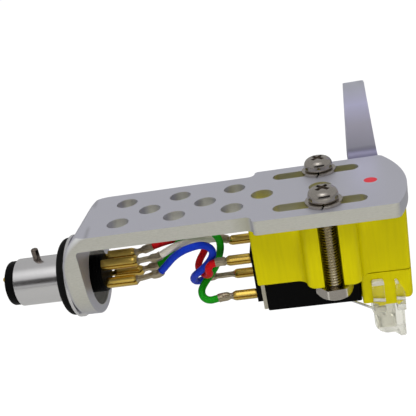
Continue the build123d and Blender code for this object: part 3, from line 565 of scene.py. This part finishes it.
for name, route in lead_routes.items():
    line = bpy.data.curves.new(f"lead_{name}_line", "CURVE")
    line.dimensions = "3D"
    line.bevel_depth = lead_radius
    line.bevel_resolution = 5
    line.resolution_u = 12
    line.use_fill_caps = True
    spline = line.splines.new("NURBS")
    spline.points.add(len(route) - 1)
    for point, place in zip(spline.points, route):
        point.co = (*(Vector(place) * MM), 1)
    spline.order_u = 3
    spline.use_endpoint_u = True
    lead = bpy.data.objects.new(f"lead_{name}_jacket", line)
    bpy.context.scene.collection.objects.link(lead)
    pick(lead)
    bpy.ops.object.convert(target="MESH")
    bpy.ops.object.shade_smooth()
    dark, light = lead_tints[name]
    jacket, wire, shader = new_material(f"{name}_jacket", light, 0.42, Specular_IOR_Level=0.18)
    patches = speckle(wire, object_point(wire), 1.6, 3.0)
    paint(wire, shader, patches, dark, light)
    wire.feed(shader.inputs["Roughness"], 0.36 + 0.2 * patches)
    relief(wire, shader, speckle(wire, object_point(wire), 7.0, 2.0), 0.008)
    lead.data.materials.append(jacket)
    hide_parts(f"lead_{name}")
    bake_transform(lead)

# Clips: gold-plated sheet, rolled into a split barrel that grips a pin and crimped on the lead.
# The crimp is paler, where the tool has rubbed the plate, and creased along its length.
rubbed_plate, wire, shader = new_material("rubbed_plate", (0.48, 0.40, 0.26), 0.3, 1.0)
tool_marks = speckle(wire, object_point(wire, (0.4, 1, 1)), 5.0, 3.0, 0.6)
paint(wire, shader, tool_marks, (0.26, 0.20, 0.11), (0.74, 0.65, 0.48))
wire.feed(shader.inputs["Roughness"], 0.22 + 0.22 * tool_marks)
relief(wire, shader, tool_marks, 0.03)

clip_ring = 32
clip_rows = 30
clip_sheet = 0.16
mouth_share = 0.94
cone_length = 0.7
waist_radius = 0.46
crimp_radius = 0.70
crimp_flare = 0.45
crimp_reach = 0.5
crimp_length = 1.5
lead_cover = 0.66
cover_length = 0.3
squareness = 0.62
crease_depth, crease_angle, crease_width = 0.22, 0.9, 0.3
ripple_depth, ripple_folds, ripple_twist = 0.05, 5, 2.2


def along_line(points, distance):
    """The place and direction at a distance along a line of straight runs."""
    for start, end in zip(points, points[1:]):
        run = end - start
        if distance <= run.length or end is points[-1]:
            return start + run.normalized() * distance, run.normalized()
        distance -= run.length


def clip_radius(distance, barrel_length, barrel_radius, tail_distance):
    """The rolled sheet's outer radius at a distance from the clip's mouth."""
    stops = (
        (0.0, barrel_radius * mouth_share),
        (0.15, barrel_radius),
        (barrel_length, barrel_radius),
        (barrel_length + cone_length, waist_radius),
        (tail_distance - crimp_length, waist_radius),
        (tail_distance - crimp_length + crimp_flare, crimp_radius),
        (tail_distance + crimp_reach, crimp_radius),
    )
    for (before, low), (after, high) in zip(stops, stops[1:]):
        if distance <= after:
            return low + (high - low) * (distance - before) / (after - before)
    return crimp_radius


def sheet_reach(angle, distance, barrel_length, barrel_radius, tail_distance):
    """How far the sheet stands off its line: squarish round the pin, creased round the lead."""
    radius = clip_radius(distance, barrel_length, barrel_radius, tail_distance)
    barrel_share = min(1, max(0, (barrel_length + cone_length - distance) / cone_length))
    power = 2 - squareness * barrel_share
    square = (abs(math.cos(angle)) ** power + abs(math.sin(angle)) ** power) ** (-1 / power)
    off_crease = (angle - crease_angle) / crease_width
    crease = crease_depth * (1 - barrel_share) * math.exp(-(off_crease**2))
    wave = math.sin(ripple_folds * angle + ripple_twist * distance)
    ripple = ripple_depth * (1 - barrel_share) * wave
    reach = radius * square * (1 - crease + ripple)
    if distance > tail_distance - cover_length:
        reach = max(reach, lead_cover)
    return reach


def ringed_tube(name, length):
    """An open tube, 1 in radius, cut into rows of faces."""
    bpy.ops.object.select_all(action="DESELECT")
    bpy.ops.mesh.primitive_cylinder_add(
        vertices=clip_ring,
        radius=1,
        depth=length,
        end_fill_type="NOTHING",
        location=(0, 0, length / 2),
    )
    tube = bpy.context.object
    tube.name = name
    bpy.ops.object.transform_apply(location=True)
    bpy.ops.object.mode_set(mode="EDIT")
    for row in range(1, clip_rows):
        bpy.ops.mesh.select_all(action="SELECT")
        bpy.ops.mesh.bisect(plane_co=(0, 0, length * row / clip_rows), plane_no=(0, 0, 1))
    bpy.ops.object.mode_set(mode="OBJECT")
    return tube


def split_and_thicken(clip, seam_faces):
    """Opens the roll along its seam and gives the sheet its thickness."""
    bpy.ops.object.mode_set(mode="EDIT")
    bpy.ops.mesh.select_mode(type="FACE")
    bpy.ops.mesh.select_all(action="DESELECT")
    bpy.ops.object.mode_set(mode="OBJECT")
    for index in seam_faces:
        clip.data.polygons[index].select = True
    bpy.ops.object.mode_set(mode="EDIT")
    bpy.ops.mesh.delete(type="FACE")
    bpy.ops.mesh.select_all(action="SELECT")
    bpy.ops.mesh.normals_make_consistent(inside=False)
    bpy.ops.object.mode_set(mode="OBJECT")
    wall = clip.modifiers.new("wall", "SOLIDIFY")
    wall.thickness = clip_sheet * MM
    wall.offset = -1
    bpy.ops.object.modifier_apply(modifier="wall")
    bpy.ops.object.shade_smooth_by_angle(angle=math.radians(40))


def rolled_clip(node, mouth, barrel_length, barrel_radius, lead_start, lead_next, body):
    """One clip: a tube drawn to its profile along its line, then split and thickened."""
    mouth = Vector(mouth)
    lead_start = Vector(lead_start)
    forward = 1 if lead_start.x > mouth.x else -1
    barrel_end = mouth + Vector((forward * barrel_length, 0, 0))
    lead_run = (Vector(lead_next) - lead_start).normalized()
    line = [mouth, barrel_end, lead_start, lead_start + lead_run * crimp_reach]
    tail_distance = barrel_length + (lead_start - barrel_end).length
    clip = ringed_tube(node + "_rolled", tail_distance + crimp_reach)
    seam_faces = []
    for face in clip.data.polygons:
        distance = face.center.z
        turn_share = math.atan2(face.center.y, face.center.x) * clip_ring / math.tau
        if abs(turn_share - 0.5) < 0.3 and distance < barrel_length + cone_length / 2:
            seam_faces.append(face.index)
        face.material_index = 1 if distance > barrel_length + cone_length * 0.6 else 0
    for vertex in clip.data.vertices:
        distance = vertex.co.z
        angle = math.atan2(vertex.co.y, vertex.co.x)
        reach = sheet_reach(angle, distance, barrel_length, barrel_radius, tail_distance)
        place, heading = along_line(line, distance)
        side = heading.cross(Vector((0, 0, 1))).normalized() * forward
        over = side.cross(heading).normalized() * forward
        vertex.co = (place + reach * (math.cos(angle) * side + math.sin(angle) * over)) * MM
    split_and_thicken(clip, seam_faces)
    clip.data.materials.append(gold_plate)
    clip.data.materials.append(rubbed_plate)
    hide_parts(node)
    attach(clip, body)


rear_clips = {
    "white": ((5.05, -1.6, 2.05), 5.65),
    "red": ((5.5, 1.6, 2.05), 4.4),
    "green": ((5.9, 1.6, -1.25), 4.4),
    "blue": ((5.2, -1.6, -1.25), 4.75),
}
front_clips = {
    "white": ((29.55, 3.65, 1.15), 3.4),
    "red": ((29.55, -3.65, 1.15), 3.4),
    "blue": ((29.55, 3.65, -5.2), 3.6),
    "green": ((29.55, -3.65, -5.2), 3.4),
}
for name, (mouth, barrel_length) in rear_clips.items():
    route = lead_routes[name]
    node = f"rear_clip_{name}"
    rolled_clip(node, mouth, barrel_length, 1.0, route[0], route[1], "headshell")
for name, (mouth, barrel_length) in front_clips.items():
    route = lead_routes[name]
    node = f"front_clip_{name}"
    rolled_clip(node, mouth, barrel_length, 0.9, route[-1], route[-2], "cartridge")

# Carrier: moulded in yellow plastic with a satin skin. Its ears hold the screws in open channels,
# and its flanks are S-shaped. Soft vertical streaks of painted highlight run down it.
yellow, wire, shader = new_material(
    "yellow_plastic", (0.70, 0.62, 0.0), 0.36, Specular_IOR_Level=0.1
)
skin = speckle(wire, object_point(wire), 4.0, 3.0)
# Soft vertical streaks of painted highlight, stretched along Z.
vertical_highlight_streaks = speckle(wire, object_point(wire, (1, 1, 0.08)), 2.5, 2.0)
paint(wire, shader, vertical_highlight_streaks, (0.64, 0.56, 0.0), (0.76, 0.67, 0.0))
wire.feed(shader.inputs["Roughness"], 0.34 + 0.14 * skin)
relief(wire, shader, skin, 0.006)
carrier = rounded_copy("mount_body", 0.12, "cartridge")
carrier.data.materials.append(yellow)

# Stylus holder: moulded in the same yellow plastic round the stylus tube. It is pushed into the
# carrier from the front, and pulls out when the stylus is worn.
holder = rounded_copy("stylus_holder", 0.12, "stylus")
holder.data.materials.append(yellow)

# Generator housing: moulded in black plastic and fixed inside the carrier. It holds the coils and
# their poles.
housing = rounded_copy("generator_body", 0.1, "cartridge")
housing.data.materials.append(black_plastic)

# Rear block: moulded in black plastic round the four pins. It closes the housing behind, and the
# coils' wires end on its pins.
block = rounded_copy("terminal_block", 0.08, "cartridge")
block.data.materials.append(black_plastic)

# Screening plate: thin rolled sheet, cut with shears and held between the housing and the rear
# block. It keeps hum away from the coils.
sheet_steel, wire, shader = new_material("sheet_steel", (0.60, 0.56, 0.46), 0.34, 1.0)
rolled = speckle(wire, object_point(wire, (1, 1, 0.06)), 12.0, 3.0)
paint(wire, shader, rolled, (0.52, 0.48, 0.38), (0.70, 0.66, 0.55))
wire.feed(shader.inputs["Roughness"], 0.28 + 0.18 * rolled)
relief(wire, shader, rolled, 0.004)
dress(["shield_plate"], sheet_steel)

# Screws: nickel-plated steel, one on each side, down through the headshell's slots and the
# carrier's ears. The thread is rolled, with painted shade in its grooves and on its sides. The pan
# head is punched with a cross recess whose walls are painted dark brown as shade.
head_height = 1.9
head_dome = 1.15
punch_size = (2.9, 0.8, 1.5)
punch_depth = 0.35
punch_taper = 0.45
recess_reach = 1.4
recess_depth = 1.3
thread_pitch = 0.45
thread_root = 1.0
thread_crest = 1.3


def screw_sizes(side):
    """A screw's lower and upper corners, its middle and its head's underside, in millimetres."""
    low, high = (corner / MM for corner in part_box(f"screw_{side}"))
    return low, high, (low + high) / 2, high.z - head_height


def from_screw_axis(wire):
    """The distance along X from the screws' axes, and the squared distance from the nearer one."""
    from_x = abs(place_along(wire, "X") - screw_x)
    from_y = abs(place_along(wire, "Y")) - screw_y
    return from_x, from_x * from_x + from_y * from_y


def threaded_shank(low, centre, head_bottom):
    """A thread: one flank pair of it, wound up along the screw and pressed flat at both ends."""
    # A plane without one of its corners leaves a line of three points: root, crest and root.
    bpy.ops.object.select_all(action="DESELECT")
    bpy.ops.mesh.primitive_plane_add(size=2)
    shank = bpy.context.object
    bpy.ops.object.mode_set(mode="EDIT")
    bpy.ops.mesh.select_mode(type="VERT")
    bpy.ops.mesh.select_all(action="DESELECT")
    bpy.ops.object.mode_set(mode="OBJECT")
    shank.data.vertices[3].select = True
    bpy.ops.object.mode_set(mode="EDIT")
    bpy.ops.mesh.delete(type="VERT")
    bpy.ops.object.mode_set(mode="OBJECT")
    points = list(shank.data.vertices)
    joined = [sum(point.index in edge.vertices for edge in shank.data.edges) for point in points]
    crest = points[joined.index(2)]
    first, last = (point for point in points if point is not crest)
    first.co = (thread_root * MM, 0, -thread_pitch * MM)
    crest.co = (thread_crest * MM, 0, -thread_pitch / 2 * MM)
    last.co = (thread_root * MM, 0, 0)
    helix = shank.modifiers.new("helix", "SCREW")
    helix.screw_offset = thread_pitch * MM
    helix.iterations = math.ceil((head_bottom - low.z) / thread_pitch)
    helix.steps = 28
    helix.render_steps = 28
    helix.use_merge_vertices = True
    helix.merge_threshold = 0.001 * MM
    bpy.ops.object.modifier_apply(modifier="helix")
    for vertex in shank.data.vertices:
        x, y, z = vertex.co / MM
        z = min(max(z + low.z, low.z), head_bottom)
        vertex.co = Vector((x + centre.x, y + centre.y, z)) * MM
    bpy.ops.object.shade_smooth_by_angle(angle=math.radians(35))
    shank.data.materials.append(thread_steel)
    return shank


def round_rim(piece, rim_z, reach, segments):
    """Rounds the ring of edges of a piece at one height."""
    bpy.ops.object.mode_set(mode="EDIT")
    bpy.ops.mesh.select_mode(type="EDGE")
    bpy.ops.mesh.select_all(action="DESELECT")
    bpy.ops.object.mode_set(mode="OBJECT")
    on_rim = [abs(vertex.co.z / MM - rim_z) < 0.01 for vertex in piece.data.vertices]
    for edge in piece.data.edges:
        edge.select = all(on_rim[index] for index in edge.vertices)
    bpy.ops.object.mode_set(mode="EDIT")
    bpy.ops.mesh.bevel(offset=reach * MM, segments=segments, profile=0.5)
    bpy.ops.object.mode_set(mode="OBJECT")


def cutting_block(size, rotation, place):
    """A block to cut with, by its size and middle in millimetres."""
    bpy.ops.object.select_all(action="DESELECT")
    bpy.ops.mesh.primitive_cube_add(size=1)
    tool = bpy.context.object
    tool.scale = Vector(size) * MM
    tool.rotation_euler = rotation
    tool.location = Vector(place) * MM
    bpy.ops.object.transform_apply(location=True, rotation=True, scale=True)
    return tool


def cut_away(piece, tool):
    """Cuts a tool's shape out of a piece and throws the tool away."""
    pick(piece)
    cut = piece.modifiers.new("cut", "BOOLEAN")
    cut.object = tool
    cut.operation = "DIFFERENCE"
    bpy.ops.object.modifier_apply(modifier="cut")
    bpy.data.objects.remove(tool)


def pan_head(name, low, high, centre, head_bottom):
    """A head with a domed rim and a tapered cross recess, whose walls take the second material."""
    bpy.ops.object.select_all(action="DESELECT")
    bpy.ops.mesh.primitive_cylinder_add(
        vertices=64,
        radius=(high.x - low.x) / 2 * MM,
        depth=(high.z - head_bottom) * MM,
        location=(centre.x * MM, centre.y * MM, (head_bottom + high.z) / 2 * MM),
    )
    head = bpy.context.object
    head.name = name
    bpy.ops.object.transform_apply(location=True)
    round_rim(head, high.z, head_dome, 8)
    round_rim(head, head_bottom, 0.3, 3)
    punch_z = high.z - punch_depth
    for turn_degrees in (45, 135):
        punch = cutting_block(
            punch_size, (0, 0, math.radians(turn_degrees)), (centre.x, centre.y, punch_z)
        )
        for vertex in punch.data.vertices:
            if vertex.co.z < punch_z * MM:
                axis_point = Vector((centre.x * MM, centre.y * MM, vertex.co.z))
                vertex.co = axis_point + (vertex.co - axis_point) * punch_taper
        cut_away(head, punch)
    bpy.ops.object.shade_smooth_by_angle(angle=math.radians(30))
    for face in head.data.polygons:
        x, y, z = face.center / MM
        in_recess = math.hypot(x - centre.x, y - centre.y) < recess_reach
        below_top = high.z - recess_depth < z < high.z - 0.02
        steep = face.normal.z < 0.6
        deep = z < high.z - 0.6
        if in_recess and below_top and (steep or deep):
            face.material_index = 1
    head.data.materials.clear()
    head.data.materials.append(plated)
    head.data.materials.append(recess_shade)
    return head


near_middle = screw_sizes("near")[2]
screw_x = near_middle.x
screw_y = abs(near_middle.y)

plated, wire, shader = new_material("plated_steel", (0.50, 0.47, 0.42), 0.2, 1.0)
handling = speckle(wire, object_point(wire), 5.0, 4.0, 0.6)
paint(wire, shader, handling, (0.36, 0.33, 0.29), (0.54, 0.50, 0.46))
wire.feed(shader.inputs["Roughness"], 0.07 + 0.12 * handling)
relief(wire, shader, handling, 0.006)

# The cross recess's walls are painted dark brown as shade.
recess_shade, wire, shader = new_material("recess_shade", (0.05, 0.03, 0.02), 0.5, 0.4)
recess_shade_mottle = speckle(wire, object_point(wire), 6.0, 3.0)
paint(wire, shader, recess_shade_mottle, (0.02, 0.012, 0.008), (0.16, 0.11, 0.08))

thread_steel, wire, shader = new_material("thread_steel", (0.42, 0.36, 0.26), 0.24, 1.0)
oil = speckle(wire, object_point(wire), 4.0, 3.0)
# The thread's grooves, and its sides along X, are painted dark as shade; its middle stays light.
flank_shade_colour = colour(0.20, 0.11, 0.05)
groove_shade_colour = colour(0.02, 0.012, 0.008)
from_axis_x, axis_reach = from_screw_axis(wire)
groove_shade = 1 - ramp_between(wire, axis_reach, thread_root**2, (thread_crest - 0.05) ** 2)
groove_shade = groove_shade * ramp_between(wire, from_axis_x, 0.35, 0.75)
flank_shade = ramp_between(wire, from_axis_x, 0.6, 0.95) * 0.6
thread_tone = tint_between(wire, oil, (0.50, 0.43, 0.29), (0.80, 0.73, 0.56))
thread_tone = colour_mix(wire, flank_shade, thread_tone, flank_shade_colour)
wire.feed(shader.inputs["Base Color"], colour_mix(wire, groove_shade, thread_tone, groove_shade_colour))
wire.feed(shader.inputs["Roughness"], 0.14 + 0.2 * oil)

for side in ("far", "near"):
    low, high, centre, head_bottom = screw_sizes(side)
    shank = threaded_shank(low, centre, head_bottom)
    head = pan_head(f"screw_{side}_turned", low, high, centre, head_bottom)
    shank.select_set(True)
    bpy.ops.object.join()
    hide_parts(f"screw_{side}")
    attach(head, "cartridge")

# Washers: spring washers of the same plated steel under the screws' heads, sawn through at a slant.
saw_size = (0.22, 3, 2)
saw_slant = math.radians(38)
saw_from_head = Vector((-0.35, -2, -0.25))
for side in ("far", "near"):
    _, _, centre, head_bottom = screw_sizes(side)
    washer = rounded_copy(f"washer_{side}", 0.08, "cartridge")
    washer.data.materials.append(plated)
    saw_place = Vector((centre.x, centre.y, head_bottom)) + saw_from_head
    cut_away(washer, cutting_block(saw_size, (0, saw_slant, 0), saw_place))

# Nuts: hexagonal, plated steel, chamfered underneath and held in the carrier's ears. Their
# corners and lower rim are painted bright as a highlight.
nut_steel, wire, shader = new_material("nut_steel", (0.50, 0.47, 0.42), 0.2, 1.0)
nut_handling = speckle(wire, object_point(wire), 5.0, 4.0, 0.6)
nut_tint = tint_between(wire, nut_handling, (0.36, 0.33, 0.29), (0.58, 0.54, 0.49))
# Painted highlight on the corners and the lower chamfer.
nut_highlight_colour = colour(0.80, 0.76, 0.69)
highlight_from_radius = 2.77
highlight_to_radius = 2.87
on_corners = ramp_between(wire, from_screw_axis(wire)[1], highlight_from_radius**2, highlight_to_radius**2)
downwards = -1 * facing(wire, "Z")
on_rim = ramp_between(wire, downwards, 0.2, 0.5) * (1 - ramp_between(wire, downwards, 0.85, 0.95))
edge_highlight = wire.node("Math", {"operation": "MAXIMUM"}, {0: on_corners, 1: on_rim})
wire.feed(shader.inputs["Base Color"], colour_mix(wire, edge_highlight, nut_tint, nut_highlight_colour))
wire.feed(shader.inputs["Metallic"], 1 - 0.3 * edge_highlight)
wire.feed(shader.inputs["Roughness"], 0.1 + 0.12 * nut_handling)
for side in ("far", "near"):
    nut = rounded_copy(f"nut_{side}", 0.08, "cartridge")
    nut.data.materials.append(nut_steel)

# Pole pieces and yoke: stamped from soft iron and hidden in the housing. They lead the magnet's
# field through the coils, one pole for each channel.
soft_iron, wire, shader = new_material("soft_iron", (0.42, 0.42, 0.43), 0.4, 1.0)
mill_scale = speckle(wire, object_point(wire), 6.0, 4.0)
paint(wire, shader, mill_scale, (0.34, 0.34, 0.35), (0.50, 0.50, 0.51))
wire.feed(shader.inputs["Roughness"], 0.34 + 0.16 * mill_scale)
dress(["pole_piece_far", "pole_piece_near", "yoke"], soft_iron)

# Magnet: a small bar, pressed and sintered, that rides on the cantilever's rear end between the
# poles.
dress(["magnet"], soft_iron)

# Bobbins: moulded in milky plastic and slid over the poles. They keep the windings off the iron.
# Their flanges hold the wire in.
bobbin_plastic, wire, shader = new_material("bobbin_plastic", (0.72, 0.70, 0.64), 0.45)
milky = speckle(wire, object_point(wire), 3.0, 3.0)
paint(wire, shader, milky, (0.66, 0.64, 0.57), (0.78, 0.76, 0.70))
dress(["bobbin_far", "bobbin_near"], bobbin_plastic)

# Coils: fine enamelled copper wire, wound turn beside turn on the bobbins. Each gives one channel's
# signal.
copper_wire, wire, shader = new_material("copper_wire", (0.62, 0.25, 0.10), 0.3, 0.9)
winding = {"Vector": object_point(wire), "Scale": 3.2, "Distortion": 0.3}
turns = wire.node("TexWave", {"bands_direction": "Z"}, winding)
paint(wire, shader, turns, (0.36, 0.12, 0.04), (0.70, 0.30, 0.12))
relief(wire, shader, turns, 0.02)
dress(["coil_far", "coil_near"], copper_wire)

# Stylus tube and cantilever: drawn aluminium. The tube is fixed in the holder, and the cantilever
# runs through it from the magnet to the tip.
drawn_aluminium, wire, shader = new_material("drawn_aluminium", (0.72, 0.72, 0.74), 0.3, 1.0)
die_lines = speckle(wire, object_point(wire), 8.0, 3.0)
paint(wire, shader, die_lines, (0.62, 0.62, 0.64), (0.80, 0.80, 0.82))
wire.feed(shader.inputs["Roughness"], 0.24 + 0.14 * die_lines)
dress(["stylus_tube", "cantilever"], drawn_aluminium)

# Damper: a ring of soft rubber, pressed into the tube round the cantilever. It lets the cantilever
# move and brings it back.
dress(["damper"], black_rubber)

# Stylus tip: a ground diamond, glued into the cantilever's front end. It is the only piece that
# touches the record.
diamond, wire, shader = new_material("diamond", (0.16, 0.13, 0.10), 0.12)
facets = speckle(wire, object_point(wire), 12.0, 2.0)
paint(wire, shader, facets, (0.10, 0.08, 0.06), (0.26, 0.22, 0.17))
dress(["stylus_tip"], diamond)

# Guard: a thin clear moulding that clips on the holder and keeps fingers off the stylus. Its arms
# are painted milky white at the top as a highlight, and each ends in small lips with the same
# painted highlight.
clear, wire, shader = new_material(
    "clear_plastic", (0.82, 0.81, 0.73), 0.1, Transmission_Weight=0.88, IOR=1.46
)
flow = speckle(wire, object_point(wire, (1, 1, 0.4)), 1.2, 3.0)
paint(wire, shader, flow, (0.74, 0.73, 0.65), (0.88, 0.87, 0.79))
wire.feed(shader.inputs["Roughness"], 0.08 + 0.16 * flow)
relief(wire, shader, flow, 0.05)

thin_clear, wire, shader = new_material(
    "thin_clear_plastic", (0.95, 0.94, 0.88), 0.05, Transmission_Weight=0.99, IOR=1.3
)
thin_flow = speckle(wire, object_point(wire), 1.6, 2.0)
wire.feed(shader.inputs["Roughness"], 0.03 + 0.06 * thin_flow)

# Milky white plastic that paints the highlights on the arms' tops and lips.
milky_highlight, wire, shader = new_material(
    "milky_highlight_plastic", (0.85, 0.83, 0.74), 0.5, Transmission_Weight=0.25, IOR=1.46
)
milky_highlight_mottle = speckle(wire, object_point(wire), 3.0, 4.0, 0.7)
paint(wire, shader, milky_highlight_mottle, (0.60, 0.57, 0.44), (0.98, 0.96, 0.90))
wire.feed(shader.inputs["Roughness"], 0.3 + 0.3 * milky_highlight_mottle)
relief(wire, shader, milky_highlight_mottle, 0.03)

guard_plastics = (clear, thin_clear, milky_highlight)
arm_foot_z = -9.1
highlight_from_z = -5.05
guard = rounded_copy("stylus_guard", 0.1, "guard")
bpy.ops.object.mode_set(mode="EDIT")
for cut_z in (arm_foot_z, highlight_from_z):
    bpy.ops.mesh.select_all(action="SELECT")
    bpy.ops.mesh.bisect(plane_co=(0, 0, cut_z * MM), plane_no=(0, 0, 1))
bpy.ops.object.mode_set(mode="OBJECT")
for face in guard.data.polygons:
    face_z = face.center.z / MM
    face.material_index = (face_z > arm_foot_z) + (face_z > highlight_from_z)
for plastic in guard_plastics:
    guard.data.materials.append(plastic)

# Small lips on the arms, in the painted highlight plastic.
lip_radius = 0.275
lip_y = 5.85
lip_tilt = math.radians(98)
lips = ((47.4, 49.2, -7.6), (50.9, 52.2, -7.7))
for back_x, front_x, lip_z in lips:
    for sign in (-1, 1):
        bpy.ops.object.select_all(action="DESELECT")
        bpy.ops.mesh.primitive_cylinder_add(
            vertices=16, radius=lip_radius * MM, depth=(front_x - back_x) * MM
        )
        lip = bpy.context.object
        lip.rotation_euler = (0, lip_tilt, 0)
        lip.location = ((back_x + front_x) / 2 * MM, sign * lip_y * MM, lip_z * MM)
        bpy.ops.object.transform_apply(location=True, rotation=True)
        bpy.ops.object.shade_smooth_by_angle(angle=math.radians(40))
        for plastic in guard_plastics:
            lip.data.materials.append(plastic)
        for face in lip.data.polygons:
            face.material_index = guard_plastics.index(milky_highlight)
        guard.select_set(True)
        bpy.context.view_layer.objects.active = guard
        bpy.ops.object.join()

bpy.ops.object.select_all(action="DESELECT")
bpy.context.view_layer.update()
